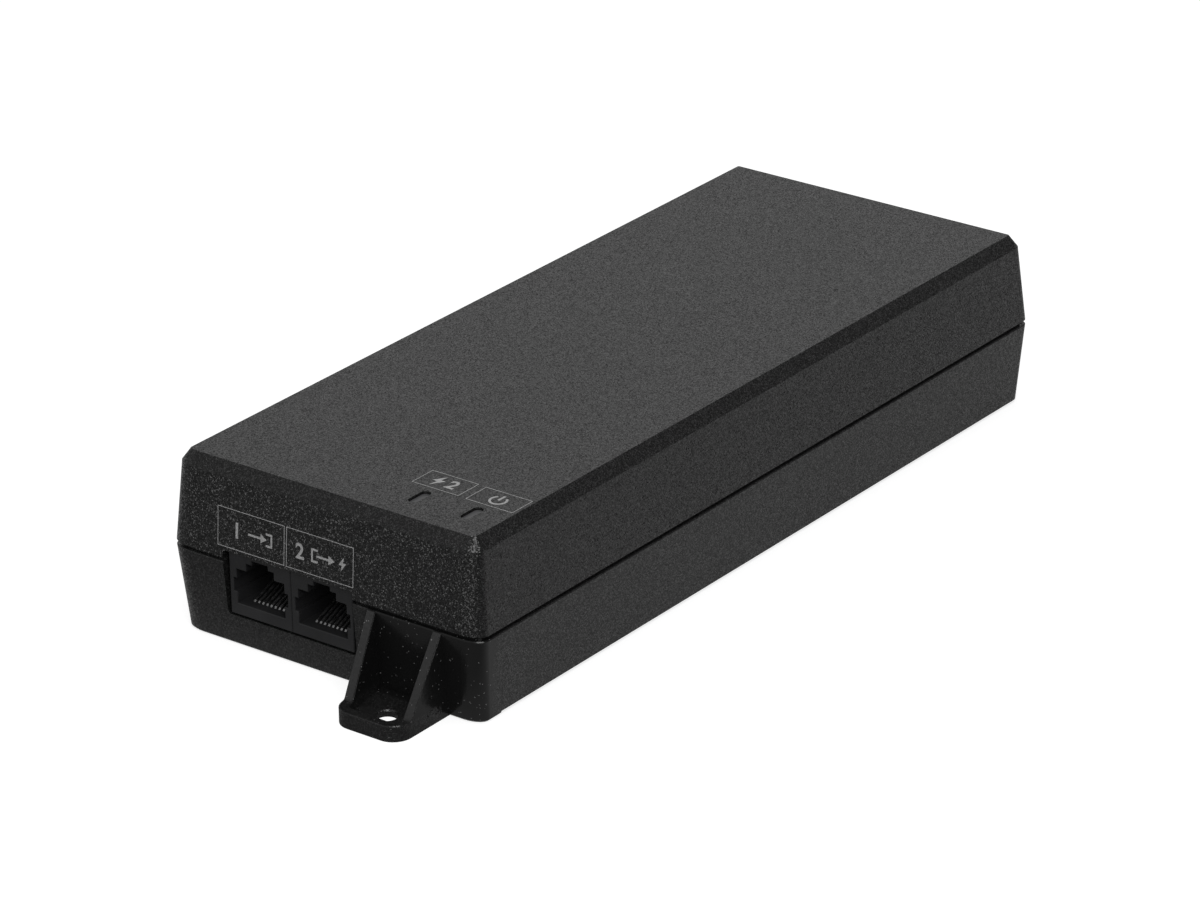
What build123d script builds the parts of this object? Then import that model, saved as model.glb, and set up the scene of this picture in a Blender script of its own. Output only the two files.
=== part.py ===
from build123d import *
import os
from math import copysign, radians, tan

# PoE injector: a mains-fed midspan supply in a two-part moulded case.
# Sizes in millimetres. X runs across the case, Y along it with the jacks at -Y, Z up.
# Origin: the middle of the footprint, at the level the case stands on.

# ---- case outline ----
CASE_WIDTH = 76.0          # at the parting line, its widest level
CASE_LENGTH = 186.0        # at the parting line, without the mounting ears
CASE_HEIGHT = 37.7
PARTING_HEIGHT = 18.1
WALL_DRAFT = 4.5           # degrees, on every outer wall of both halves
TOP_BEVEL_RUN = 1.95
TOP_BEVEL_DROP = 2.55
FRONT_CORNER = (4.5, 2.7)  # each front corner turns over this much of the front, then of the side
REAR_CORNER = (2.3, 2.3)   # the same for the rear corners
SHARPEST_CORNER = 0.3
WALL = 2.2

# ---- joint between the two shells ----
SHADOW_GAP = 0.7           # height of the dark line round the case
SHADOW_EDGE = 0.2          # bevel on both edges of that line
LIP_DEPTH = 1.1            # how far the lip stands back from the outer face
LIP_HEIGHT = 1.6
LIP_CLEARANCE = 0.15

# ---- feet: the ends stand lower than the long sides ----
FOOT_HEIGHT = 0.7
FOOT_LENGTH = 7.5          # from the end of the case at the parting line
REAR_FOOT_INSET = 8.0      # the rear foot stops this far from each side
FOOT_EDGE_BEVEL = 0.45

# ---- mounting ears, one at each end, point-symmetric ----
EAR_WIDTH = 17.9
EAR_SIDE_INSET = 9.15      # from the widest side of the case to the ear's straight side
EAR_REACH = 13.75          # beyond the end of the case at the parting line
EAR_TAPER = 10.0           # degrees, the plan angle of the ear's inner side
EAR_RIB = 2.1
EAR_FLOOR = 1.4
EAR_RIM_HEIGHT = 3.3
EAR_CORNER_RADIUS = 4.0
EAR_SLOPE_RUN = 9.5        # the ribs fall from the parting line to the rim over this run
EAR_EDGE = 0.2             # bevel on the ribs and the rim
EAR_ROOT_MARGIN = 0.2      # the ear's root stops this far short of the inner face of the wall
EAR_HOLE_RADIUS = 2.1
EAR_HOLE_BEVEL = 0.3
EAR_HOLE_FROM_TIP = 6.55
EAR_HOLE_FROM_SIDE = 7.85

# ---- case screws, driven from below ----
SCREW_SIDE_INSET = 7.5     # from the widest side of the case
FRONT_SCREW_INSET = 22.0
REAR_SCREW_INSET = 11.0
SCREW_HOLE_RADIUS = 1.6
SCREW_PILOT_RADIUS = 1.2   # also the core of the screw
SCREW_LENGTH = 16.0
SCREW_HEAD_RADIUS = 2.7
SCREW_HEAD_HEIGHT = 2.0
SCREW_RECESS_RADIUS = 3.1
SCREW_SEAT = 1.6           # plastic left under the screw head
BOSS_RADIUS = 3.2
STANDOFF_RADIUS = 4.4

# ---- circuit board and its film ----
BOARD_STANDOFF = 2.3
BOARD_THICKNESS = 1.6
BOARD_GAP = 1.2            # to the inner walls
FILM_THICKNESS = 0.3
FILM_GAP = 0.4

# ---- modular jacks ----
JACK_WIDTH = 15.24
JACK_SPACING = 0.1
JACK_LENGTH = 16.4
JACK_HEIGHT = 13.2
JACK_SETBACK = 1.0         # of the jack faces behind the parting line
JACK_TO_EAR = 4.2          # from the second jack to the inner side of the ear
JACK_SIDE_GAP = 0.75       # between jack and case, left and right
JACK_EDGE = 0.15
JACK_GAP_BELOW = 0.35
JACK_GAP_ABOVE = 0.2
OPENING_CORNER = 0.8
SOCKET_WIDTH = 11.9
SOCKET_SILL = 2.45
SOCKET_HEIGHT = 7.25
SOCKET_DEPTH = 12.4
KEY_WIDTH = 6.9
KEY_HEIGHT = 1.65
LATCH_WIDTH = 4.0
LATCH_HEIGHT = 0.95
NOTCH_DEPTH = 0.8
NOTCH_LOW = 2.45
NOTCH_HIGH = 5.25
CONTACT_COUNT = 8
CONTACT_PITCH = 1.02
CONTACT_WIDTH = 0.45
CONTACT_THICKNESS = 0.3
CONTACT_TIP_SETBACK = 2.3
CONTACT_TIP_RISE = 0.35
CONTACT_ROOT_RISE = 4.4

# ---- indicators ----
PIPE_LENGTH = 5.3
PIPE_WIDTH = 1.9
PIPE_CLEARANCE = 0.15
PIPE_RECESS = 0.5
PIPE_FLANGE = 1.0
PIPE_SIDE_INSET = 10.15    # of the outer light pipe from the widest side
PIPE_PITCH = 12.5
PIPE_FRONT_INSET = 11.4    # centre of the slots behind the end of the case
LED_LENGTH = 3.2
LED_WIDTH = 1.6
LED_HEIGHT = 1.2
LED_GAP = 0.3

# ---- mains inlet ----
INLET_SIDE_INSET = 31.0    # of its centre from the widest side
NOSE_WIDTH = 27.4
NOSE_HEIGHT = 20.0
NOSE_CORNER = 1.5
NOSE_CLEARANCE = 0.2
INLET_FLANGE_MARGIN = 1.7
INLET_FLANGE_THICKNESS = 2.0
INLET_FLANGE_SETBACK = 3.5
INLET_DEPTH = 19.0
CAVITY_WIDTH = 24.2
CAVITY_HEIGHT = 16.4
CAVITY_DEPTH = 15.6
CAVITY_CUT = 3.6
BLADE_WIDTH = 2.0
BLADE_HEIGHT = 4.0
BLADE_SETBACK = 3.0        # of the blade tips behind the nose face
BLADE_SPREAD = 7.0         # of the line and neutral blades from the middle
BLADE_OFFSET = 2.0         # of each blade above or below the middle
BLADE_TAIL = 5.0
TAIL_THICKNESS = 1.2

# ---- supply components ----
# A spot is the distance in from a side of the case, then from an end of it. Positive counts
# from the right side or the rear end, negative from the left side or the front end. The ones
# called MIDDLE_SPOT have X from the middle of the case in place of the side distance.
FUSE_RADIUS = 4.2
FUSE_HEIGHT = 7.7
FUSE_SPOT = (-17.0, 10.5)
VARISTOR_RADIUS = 6.0
VARISTOR_THICKNESS = 4.2
VARISTOR_SPOT = (-17.0, 21.0)
THERMISTOR_RADIUS = 5.5
THERMISTOR_THICKNESS = 4.0
THERMISTOR_SPOT = (12.0, 25.0)
SAFETY_DISC_RADIUS = 4.0
SAFETY_DISC_THICKNESS = 3.2
SAFETY_DISC_SPOTS = [(14.0, 34.0), (14.0, 40.0)]
FILM_CAPACITOR = (18.0, 9.0, 15.0)
FILM_CAPACITOR_SPOT = (-15.5, 32.0)
CHOKE_RADIUS = 11.0
CHOKE_BORE_RADIUS = 6.0
CHOKE_THICKNESS = 8.0
CHOKE_MIDDLE_SPOT = (2.5, 34.0)
BRIDGE = (21.5, 3.6, 16.0)
BRIDGE_LEG_COUNT = 4
BRIDGE_LEG_PITCH = 5.08
BRIDGE_SPOT = (-18.0, 43.0)
BULK_RADIUS = 11.0
BULK_HEIGHT = 25.0
BULK_SPOT = (-19.0, 58.0)
SINK_THICKNESS = 1.8
SINK_HEIGHT = 23.0
SINK_FIN_DEPTH = 3.5
SINK_FIN_COUNT = 5
PRIMARY_SINK_LENGTH = 36.0
PRIMARY_SINK_SPOT = (10.5, 64.0)
SECONDARY_SINK_LENGTH = 28.0
SECONDARY_SINK_SPOT = (-10.5, -55.0)
TAB = (1.3, 10.2, 15.6)
TAB_HOLE_RADIUS = 1.8
TAB_HOLE_DROP = 2.8
PACKAGE = (4.5, 10.2, 9.2)
LEG_LENGTH = 4.0
LEG_WIDTH = 0.9
LEG_THICKNESS = 0.5
LEG_PITCH = 2.54
CORE = (32.0, 20.0, 24.0)
CORE_YOKE = 5.0
CORE_POST_RADIUS = 6.5
CORE_SIDE_THICKNESS = 4.5
BOBBIN_WALL = 1.0
BOBBIN_FLANGE_RADIUS = 10.6
BOBBIN_RAIL = (26.0, 4.0)
BOBBIN_RAIL_GAP = 0.2
WINDING_RADIUS = 10.0
TRANSFORMER_MIDDLE_SPOT = (4.0, 87.0)
OUTPUT_CAPACITOR_RADIUS = 5.0
OUTPUT_CAPACITOR_HEIGHT = 20.0
OUTPUT_CAPACITOR_COUNT = 3
OUTPUT_CAPACITOR_PITCH = 12.0
OUTPUT_CAPACITOR_MIDDLE_SPOT = (0.0, -60.0)
INDUCTOR_RADIUS = 8.0
INDUCTOR_BORE_RADIUS = 4.0
INDUCTOR_THICKNESS = 6.0
INDUCTOR_SPOT = (16.0, -48.0)
WIRE = 1.0                 # thickness of one layer of winding wire
WINDING_GAP_ANGLE = 50.0   # degrees left bare at the top and bottom of a ring core
RING_FOOT_SHARE = 0.8      # of the foot's length in the ring's radius
RING_FOOT_HEIGHT = 1.5
RING_SINK = 0.6            # of a ring core into its foot
MAGNETICS = (24.0, 14.0, 6.5)
MAGNETICS_LEG_COUNT = 12
MAGNETICS_INSET = 33.0     # behind the front end, in line with the jacks
SOURCING_CHIP = (7.5, 12.8, 2.4)
SOURCING_CHIP_LEG_COUNT = 10
SOURCING_CHIP_SPOT = (21.0, -34.0)
CONTROLLER = (3.9, 4.9, 1.5)
CONTROLLER_SPOT = (24.0, 70.0)
COUPLER = (6.4, 4.6, 3.4)
COUPLER_SPOT = (-16.0, 86.0)
CHIP_FOOT = 1.0
CHIP_FOOT_WIDTH = 0.4
CHIP_FOOT_THICKNESS = 0.25
DISC_LIFT = 1.5            # of a coated disc above the board
DISC_EDGE = 1.2

# ---- levels and places that follow ----
BEVEL_Z = CASE_HEIGHT - TOP_BEVEL_DROP
ROOF_Z = CASE_HEIGHT - WALL
FLOOR_Z = FOOT_HEIGHT + WALL
LOWER_EDGE_Z = PARTING_HEIGHT - SHADOW_GAP / 2
UPPER_EDGE_Z = PARTING_HEIGHT + SHADOW_GAP / 2
BOARD_UNDER_Z = FLOOR_Z + BOARD_STANDOFF
BOARD_Z = BOARD_UNDER_Z + BOARD_THICKNESS
FRONT_Y = -CASE_LENGTH / 2
REAR_Y = CASE_LENGTH / 2
SIDE_X = CASE_WIDTH / 2
EAR_OUTER_X = SIDE_X - EAR_SIDE_INSET
EAR_INNER_X = EAR_OUTER_X - EAR_WIDTH
EAR_TIP_Y = FRONT_Y - EAR_REACH
JACK_PITCH = JACK_WIDTH + JACK_SPACING
POWER_JACK_X = EAR_INNER_X - JACK_TO_EAR - JACK_WIDTH / 2
DATA_JACK_X = POWER_JACK_X - JACK_PITCH
JACK_FACE_Y = FRONT_Y + JACK_SETBACK
INLET_X = SIDE_X - INLET_SIDE_INSET
INLET_Z = BOARD_Z + NOSE_HEIGHT / 2 + INLET_FLANGE_MARGIN
POWER_PIPE_X = SIDE_X - PIPE_SIDE_INSET
POE_PIPE_X = POWER_PIPE_X - PIPE_PITCH
PIPE_Y = FRONT_Y + PIPE_FRONT_INSET
SCREW_SPOTS = [
    (side * (SIDE_X - SCREW_SIDE_INSET), y)
    for side in (-1, 1)
    for y in (FRONT_Y + FRONT_SCREW_INSET, REAR_Y - REAR_SCREW_INSET)
]


def bevelled(z):
    """How far the top bevel stands inside the drafted wall at height z."""
    return TOP_BEVEL_RUN * max(z - BEVEL_Z, 0) / TOP_BEVEL_DROP


def setback(z):
    """How far the outer wall stands inside the parting outline at height z."""
    drafted = tan(radians(WALL_DRAFT)) * abs(min(z, BEVEL_Z) - PARTING_HEIGHT)
    return drafted + bevelled(z)


def case_outline(z, inset):
    """Plan of the case at height z, moved inward by inset. The draft leaves its corners as wide."""
    half_x = SIDE_X - setback(z) - inset
    half_y = REAR_Y - setback(z) - inset
    tighter = bevelled(z) + inset
    front = [max(size - tighter, SHARPEST_CORNER) for size in FRONT_CORNER]
    rear = [max(size - tighter, SHARPEST_CORNER) for size in REAR_CORNER]
    front_x, front_y = half_x - front[0], front[1] - half_y
    rear_x, rear_y = half_x - rear[0], half_y - rear[1]
    right = [
        EllipticalCenterArc((front_x, front_y), *front, start_angle=270),
        Line((half_x, front_y), (half_x, rear_y)),
        EllipticalCenterArc((rear_x, rear_y), *rear, start_angle=0),
    ]
    left = [mirror(edge, Plane.YZ) for edge in right]
    ends = [Line((-front_x, -half_y), (front_x, -half_y)), Line((rear_x, half_y), (-rear_x, half_y))]
    return Pos(0, 0, z) * make_face(right + left + ends)


def case_block(stations):
    """Solid through the case outline at each height, moved inward by the inset paired with it."""
    return loft([case_outline(z, inset) for z, inset in stations], ruled=True)


def lip_ring(low, high, outer_inset, inner_inset):
    """Ring that runs round the inside of the wall at the joint of the shells."""
    plan = case_outline(PARTING_HEIGHT, outer_inset) - case_outline(PARTING_HEIGHT, inner_inset)
    return Pos(0, 0, low - PARTING_HEIGHT) * extrude(plan, high - low)


def block(x_range, y_range, z_range):
    """Box between two values on each axis."""
    sizes = [high - low for low, high in (x_range, y_range, z_range)]
    low_corner = Pos(x_range[0], y_range[0], z_range[0])
    return low_corner * Box(*sizes, align=(Align.MIN, Align.MIN, Align.MIN))


def post(radius, low, high):
    """Upright round post between two heights."""
    return Pos(0, 0, low) * Cylinder(radius, high - low, align=(Align.CENTER, Align.CENTER, Align.MIN))


def at_screws(shape):
    """The shape repeated at the four case screws."""
    return [Pos(x, y, 0) * shape for x, y in SCREW_SPOTS]


def facing_front(plan, y_from, y_to):
    """Solid from a plan drawn as seen from the front, between two Y values."""
    upright = Plane((0, y_to, 0), x_dir=(1, 0, 0), z_dir=(0, -1, 0))
    return extrude(upright * plan, y_to - y_from)


def slot_plan(length, width):
    """Round-ended slot along Y."""
    return Rot(0, 0, 90) * SlotOverall(length, width)


# ---- openings shared by both shells ----
def jack_opening():
    """Cut for the pair of jacks, through the front wall of both shells."""
    left = DATA_JACK_X - JACK_WIDTH / 2 - JACK_SIDE_GAP
    right = POWER_JACK_X + JACK_WIDTH / 2 + JACK_SIDE_GAP
    low = BOARD_Z - JACK_GAP_BELOW
    high = BOARD_Z + JACK_HEIGHT + JACK_GAP_ABOVE
    plan = RectangleRounded(right - left, high - low, OPENING_CORNER)
    middle = Pos((left + right) / 2, (low + high) / 2)
    return facing_front(middle * plan, FRONT_Y - WALL, FRONT_Y + 2 * WALL)


def inlet_opening():
    """Cut for the nose of the mains inlet, through the rear wall of both shells."""
    margin = 2 * NOSE_CLEARANCE
    plan = RectangleRounded(NOSE_WIDTH + margin, NOSE_HEIGHT + margin, NOSE_CORNER + NOSE_CLEARANCE)
    return facing_front(Pos(INLET_X, INLET_Z) * plan, REAR_Y - 2 * WALL, REAR_Y + WALL)


# ---- lower shell ----
def foot_relief():
    """What is cut from under the case so that only the two ends touch the ground."""
    under = (-1.0, FOOT_HEIGHT)
    middle = block((-SIDE_X, SIDE_X), (FRONT_Y + FOOT_LENGTH, REAR_Y - FOOT_LENGTH), under)
    rear = (REAR_Y - FOOT_LENGTH, REAR_Y)
    left = block((-SIDE_X, REAR_FOOT_INSET - SIDE_X), rear, under)
    right = block((SIDE_X - REAR_FOOT_INSET, SIDE_X), rear, under)
    return [middle, left, right]


def ear_plan(root_y):
    """Plan of the ear from its tip back to root_y, its inner side tapered."""
    taper = tan(radians(EAR_TAPER))
    plan = Polygon(
        (EAR_INNER_X - (root_y - FRONT_Y) * taper, root_y),
        (EAR_INNER_X + EAR_REACH * taper, EAR_TIP_Y),
        (EAR_OUTER_X, EAR_TIP_Y),
        (EAR_OUTER_X, root_y),
        align=None,
    )
    return fillet(plan.vertices().group_by(Axis.Y)[0], EAR_CORNER_RADIUS)


def mounting_ear():
    """Front ear: a floor with a low rim, two sloping gusset ribs and a screw hole."""
    root_y = FRONT_Y + WALL - EAR_ROOT_MARGIN
    pocket = offset(ear_plan(root_y + 2 * EAR_RIB), -EAR_RIB)
    side_view = Polygon(
        (root_y, 0),
        (root_y, LOWER_EDGE_Z),
        (FRONT_Y, LOWER_EDGE_Z),
        (FRONT_Y - EAR_SLOPE_RUN, EAR_RIM_HEIGHT),
        (EAR_TIP_Y, EAR_RIM_HEIGHT),
        (EAR_TIP_Y, 0),
        align=None,
    )
    side_body = extrude(Plane.YZ * side_view, 2 * SIDE_X, both=True)
    ear = extrude(ear_plan(root_y), LOWER_EDGE_Z) & side_body
    ear -= Pos(0, 0, EAR_FLOOR) * extrude(pocket, CASE_HEIGHT)
    upper = ear.faces().filter_by(lambda face: face.normal_at().Z > 0 and face.center().Z > EAR_FLOOR + 1)
    ear = chamfer(ShapeList(edge for face in upper for edge in face.edges()), EAR_EDGE)
    hole = post(EAR_HOLE_RADIUS, -1, EAR_RIM_HEIGHT)
    centred = (Align.CENTER, Align.CENTER, Align.MIN)
    bevel = Cone(EAR_HOLE_RADIUS, EAR_HOLE_RADIUS + 2 * EAR_HOLE_BEVEL, 2 * EAR_HOLE_BEVEL, align=centred)
    hole += Pos(0, 0, EAR_FLOOR - EAR_HOLE_BEVEL) * bevel
    return ear - Pos(EAR_OUTER_X - EAR_HOLE_FROM_SIDE, EAR_TIP_Y + EAR_HOLE_FROM_TIP, 0) * hole


def make_lower_shell():
    """Tray half of the case with both mounting ears."""
    shell = case_block([
        (0, FOOT_EDGE_BEVEL),
        (FOOT_EDGE_BEVEL, 0),
        (LOWER_EDGE_Z - SHADOW_EDGE, 0),
        (LOWER_EDGE_Z, SHADOW_EDGE),
    ])
    shell -= foot_relief()
    shell -= case_block([(FLOOR_Z, WALL), (PARTING_HEIGHT, WALL)])
    shell += lip_ring(LOWER_EDGE_Z - 1, UPPER_EDGE_Z + LIP_HEIGHT, LIP_DEPTH, WALL)
    shell += at_screws(post(STANDOFF_RADIUS, FLOOR_Z - 0.5, BOARD_UNDER_Z))
    shell -= at_screws(post(SCREW_RECESS_RADIUS, -1, BOARD_UNDER_Z - SCREW_SEAT))
    shell -= at_screws(post(SCREW_HOLE_RADIUS, 0, BOARD_Z))
    front_ear = mounting_ear()
    shell += [front_ear, Rot(0, 0, 180) * front_ear]
    shell -= [jack_opening(), inlet_opening()]
    return shell


# ---- upper shell ----
def at_pipes(shape):
    """The shape repeated at the two light pipes."""
    return [Pos(x, PIPE_Y, 0) * shape for x in (POE_PIPE_X, POWER_PIPE_X)]


def make_upper_shell():
    """Bevelled lid half of the case."""
    shell = case_block([
        (UPPER_EDGE_Z, SHADOW_EDGE),
        (UPPER_EDGE_Z + SHADOW_EDGE, 0),
        (BEVEL_Z, 0),
        (CASE_HEIGHT, 0),
    ])
    shell -= case_block([(PARTING_HEIGHT, WALL), (BEVEL_Z, WALL), (ROOF_Z, WALL)])
    rebate = LIP_DEPTH - LIP_CLEARANCE
    rebate_top = UPPER_EDGE_Z + LIP_HEIGHT + LIP_CLEARANCE
    shell -= lip_ring(PARTING_HEIGHT, rebate_top, rebate, WALL + LIP_CLEARANCE)
    shell += at_screws(post(BOSS_RADIUS, BOARD_Z, ROOF_Z))
    pilot_top = BOARD_UNDER_Z - SCREW_SEAT + SCREW_LENGTH
    shell -= at_screws(post(SCREW_PILOT_RADIUS, BOARD_Z - 1, pilot_top))
    gap = 2 * PIPE_CLEARANCE
    slot = extrude(slot_plan(PIPE_LENGTH + gap, PIPE_WIDTH + gap), WALL + 2)
    shell -= at_pipes(Pos(0, 0, ROOF_Z - 1) * slot)
    shell -= [jack_opening(), inlet_opening()]
    return shell


# ---- board and fasteners ----
def make_main_board():
    """Circuit board with a clearance hole at each case screw."""
    inward = setback(BOARD_UNDER_Z) + WALL + BOARD_GAP
    plate = Rectangle(CASE_WIDTH - 2 * inward, CASE_LENGTH - 2 * inward)
    board = Pos(0, 0, BOARD_UNDER_Z) * extrude(plate, BOARD_THICKNESS)
    return board - at_screws(post(SCREW_HOLE_RADIUS, 0, BOARD_Z + 1))


def make_insulating_sheet():
    """Film on the floor of the lower shell, under the solder side of the board."""
    inward = setback(FLOOR_Z) + WALL + FILM_GAP
    plate = Rectangle(CASE_WIDTH - 2 * inward, CASE_LENGTH - 2 * inward)
    film = Pos(0, 0, FLOOR_Z) * extrude(plate, FILM_THICKNESS)
    return film - at_screws(post(STANDOFF_RADIUS + FILM_GAP, 0, BOARD_Z))


def make_case_screws():
    """Four pan-head screws, each through standoff and board into the boss above."""
    seat_z = BOARD_UNDER_Z - SCREW_SEAT
    head = post(SCREW_HEAD_RADIUS, seat_z - SCREW_HEAD_HEIGHT, seat_z)
    head = chamfer(head.edges().group_by(Axis.Z)[0], SCREW_HEAD_HEIGHT / 4)
    shank = post(SCREW_PILOT_RADIUS, seat_z, seat_z + SCREW_LENGTH)
    return Compound(children=at_screws(head + shank))


# ---- jacks ----
def socket_plan():
    """Plug opening of a jack as seen from the front, about the middle of its sill."""
    main = Pos(0, SOCKET_HEIGHT / 2) * Rectangle(SOCKET_WIDTH, SOCKET_HEIGHT)
    key = Pos(0, SOCKET_HEIGHT + KEY_HEIGHT / 2) * Rectangle(KEY_WIDTH, KEY_HEIGHT)
    latch_z = SOCKET_HEIGHT + KEY_HEIGHT
    latch = Pos(0, latch_z + LATCH_HEIGHT / 2) * Rectangle(LATCH_WIDTH, LATCH_HEIGHT)
    notch_z = (NOTCH_LOW + NOTCH_HIGH) / 2
    notch_size = (SOCKET_WIDTH + 2 * NOTCH_DEPTH, NOTCH_HIGH - NOTCH_LOW)
    return main + key + latch + Pos(0, notch_z) * Rectangle(*notch_size)


def make_jack_housing(x):
    """Black jack body with its stepped plug opening, latch side up."""
    body_x = (x - JACK_WIDTH / 2, x + JACK_WIDTH / 2)
    body = block(body_x, (JACK_FACE_Y, JACK_FACE_Y + JACK_LENGTH), (BOARD_Z, BOARD_Z + JACK_HEIGHT))
    opening = Pos(x, BOARD_Z + SOCKET_SILL) * socket_plan()
    body -= facing_front(opening, JACK_FACE_Y - 1, JACK_FACE_Y + SOCKET_DEPTH)
    return chamfer(body.edges().group_by(Axis.Y)[0], JACK_EDGE)


def make_jack_contacts(x):
    """Eight spring contacts that rise from the sill towards the back of the socket."""
    sill_z = BOARD_Z + SOCKET_SILL
    back_y = JACK_FACE_Y + SOCKET_DEPTH
    tip = (JACK_FACE_Y + CONTACT_TIP_SETBACK, sill_z)
    bend = (tip[0] + CONTACT_THICKNESS, sill_z + CONTACT_TIP_RISE)
    root = (back_y, sill_z + CONTACT_ROOT_RISE)
    side_view = Polygon(
        tip,
        bend,
        root,
        (root[0], root[1] - CONTACT_THICKNESS),
        (bend[0] + CONTACT_THICKNESS, bend[1] - CONTACT_THICKNESS / 2),
        (tip[0] + CONTACT_THICKNESS, tip[1]),
        align=None,
    )
    spring = extrude(Plane.YZ * side_view, CONTACT_WIDTH / 2, both=True)
    first = x - CONTACT_PITCH * (CONTACT_COUNT - 1) / 2
    springs = [Pos(first + i * CONTACT_PITCH, 0, 0) * spring for i in range(CONTACT_COUNT)]
    return Compound(children=springs)


# ---- indicators ----
def make_light_pipe(x):
    """Smoked pipe from the indicator on the board up into its slot in the lid."""
    foot_z = BOARD_Z + LED_HEIGHT + LED_GAP
    tip_z = CASE_HEIGHT - PIPE_RECESS
    stem = Pos(0, 0, foot_z) * extrude(slot_plan(PIPE_LENGTH, PIPE_WIDTH), tip_z - foot_z)
    flange_plan = slot_plan(PIPE_LENGTH + 2 * PIPE_FLANGE, PIPE_WIDTH + 2 * PIPE_FLANGE)
    flange = Pos(0, 0, ROOF_Z - PIPE_FLANGE) * extrude(flange_plan, PIPE_FLANGE)
    return Pos(x, PIPE_Y, 0) * (stem + flange)


def make_led(x):
    """Surface-mounted indicator under a light pipe."""
    base = (LED_LENGTH, LED_WIDTH)
    body = extrude(Rectangle(*base), LED_HEIGHT, taper=8)
    return Pos(x, PIPE_Y, BOARD_Z) * Rot(0, 0, 90) * body


# ---- mains inlet ----
def blade_spots():
    """Middle of each blade: line, neutral, then earth, raised between them."""
    low = INLET_Z - BLADE_OFFSET
    return [(-BLADE_SPREAD, low), (BLADE_SPREAD, low), (0.0, INLET_Z + BLADE_OFFSET)]


def make_inlet_blades():
    """Three flat blades with tails that turn down to the board."""
    tip_y = REAR_Y - BLADE_SETBACK
    tail_y = REAR_Y - INLET_DEPTH - BLADE_TAIL
    blades = []
    for dx, z in blade_spots():
        x_range = (INLET_X + dx - BLADE_WIDTH / 2, INLET_X + dx + BLADE_WIDTH / 2)
        blade = block(x_range, (tail_y, tip_y), (z - BLADE_HEIGHT / 2, z + BLADE_HEIGHT / 2))
        tip = blade.edges().filter_by(Axis.X).group_by(Axis.Y)[-1]
        blade = chamfer(tip, BLADE_WIDTH / 3)
        tail = block(x_range, (tail_y, tail_y + TAIL_THICKNESS), (BOARD_Z, z))
        blades.append(blade + tail)
    return Compound(children=blades)


def make_inlet_housing(blades):
    """Inlet body: a nose that fills the rear opening, a flange, and the plug cavity."""
    nose_plan = Pos(INLET_X, INLET_Z) * RectangleRounded(NOSE_WIDTH, NOSE_HEIGHT, NOSE_CORNER)
    body = facing_front(nose_plan, REAR_Y - INLET_DEPTH, REAR_Y)
    margin = 2 * INLET_FLANGE_MARGIN
    flange_plan = RectangleRounded(NOSE_WIDTH + margin, NOSE_HEIGHT + margin, NOSE_CORNER)
    flange_y = REAR_Y - INLET_FLANGE_SETBACK
    flange_plan = Pos(INLET_X, INLET_Z) * flange_plan
    body += facing_front(flange_plan, flange_y - INLET_FLANGE_THICKNESS, flange_y)
    cavity = Rectangle(CAVITY_WIDTH, CAVITY_HEIGHT)
    cavity = chamfer(cavity.vertices().group_by(Axis.Y)[-1], CAVITY_CUT)
    body -= facing_front(Pos(INLET_X, INLET_Z) * cavity, REAR_Y - CAVITY_DEPTH, REAR_Y + 1)
    return body - blades


# ---- supply components ----
def inward(half, distance):
    """Place at a distance in from the far end of an axis, or from its near end if negative."""
    return copysign(half, distance) - distance


def at_side(spot, shape):
    """The shape on the board, at its distances in from a side and an end of the case."""
    return Pos(inward(SIDE_X, spot[0]), inward(REAR_Y, spot[1]), BOARD_Z) * shape


def at_middle(spot, shape):
    """The shape on the board, at X from the middle and a distance in from an end of the case."""
    return Pos(spot[0], inward(REAR_Y, spot[1]), BOARD_Z) * shape


def grounded(sizes):
    """Box centred on X and Y that stands at height zero."""
    return Box(*sizes, align=(Align.CENTER, Align.CENTER, Align.MIN))


def moulded_box(sizes):
    """Standing box with its top edges eased."""
    box = grounded(sizes)
    return chamfer(box.edges().group_by(Axis.Z)[-1], min(sizes) / 10)


def standing_disc(radius, thickness):
    """Coated disc on edge, carried by two flat leads."""
    disc = Rot(90, 0, 0) * Cylinder(radius, thickness)
    disc = chamfer(disc.edges().filter_by(GeomType.CIRCLE), DISC_EDGE)
    lead = grounded((LEG_WIDTH, LEG_THICKNESS, radius + DISC_LIFT))
    leads = [Pos(side * radius / 2, 0, 0) * lead for side in (-1, 1)]
    return Pos(0, 0, radius + DISC_LIFT) * disc + leads


def capacitor_can(radius, height):
    """Sleeved can with a rolled rim round its top."""
    roll = radius / 12
    half_profile = Polygon(
        (0, 0),
        (radius - roll, 0),
        (radius, roll),
        (radius, height - roll),
        (radius - roll, height),
        (radius - 2 * roll, height),
        (radius - 2 * roll, height - roll),
        (0, height - roll),
        align=None,
    )
    return revolve(Plane.XZ * half_profile, Axis.Z)


def ring_centre(radius):
    """Height of a ring core's axis above the board."""
    return RING_FOOT_HEIGHT + radius - RING_SINK


def ring_core(radius, bore_radius, thickness):
    """Ferrite ring on edge in its foot, its axis along Y."""
    ring = Rot(90, 0, 0) * (Cylinder(radius, thickness) - Cylinder(bore_radius, thickness))
    foot = grounded((radius * RING_FOOT_SHARE, thickness + 2 * WIRE, RING_FOOT_HEIGHT))
    return Pos(0, 0, ring_centre(radius)) * ring + foot


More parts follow.
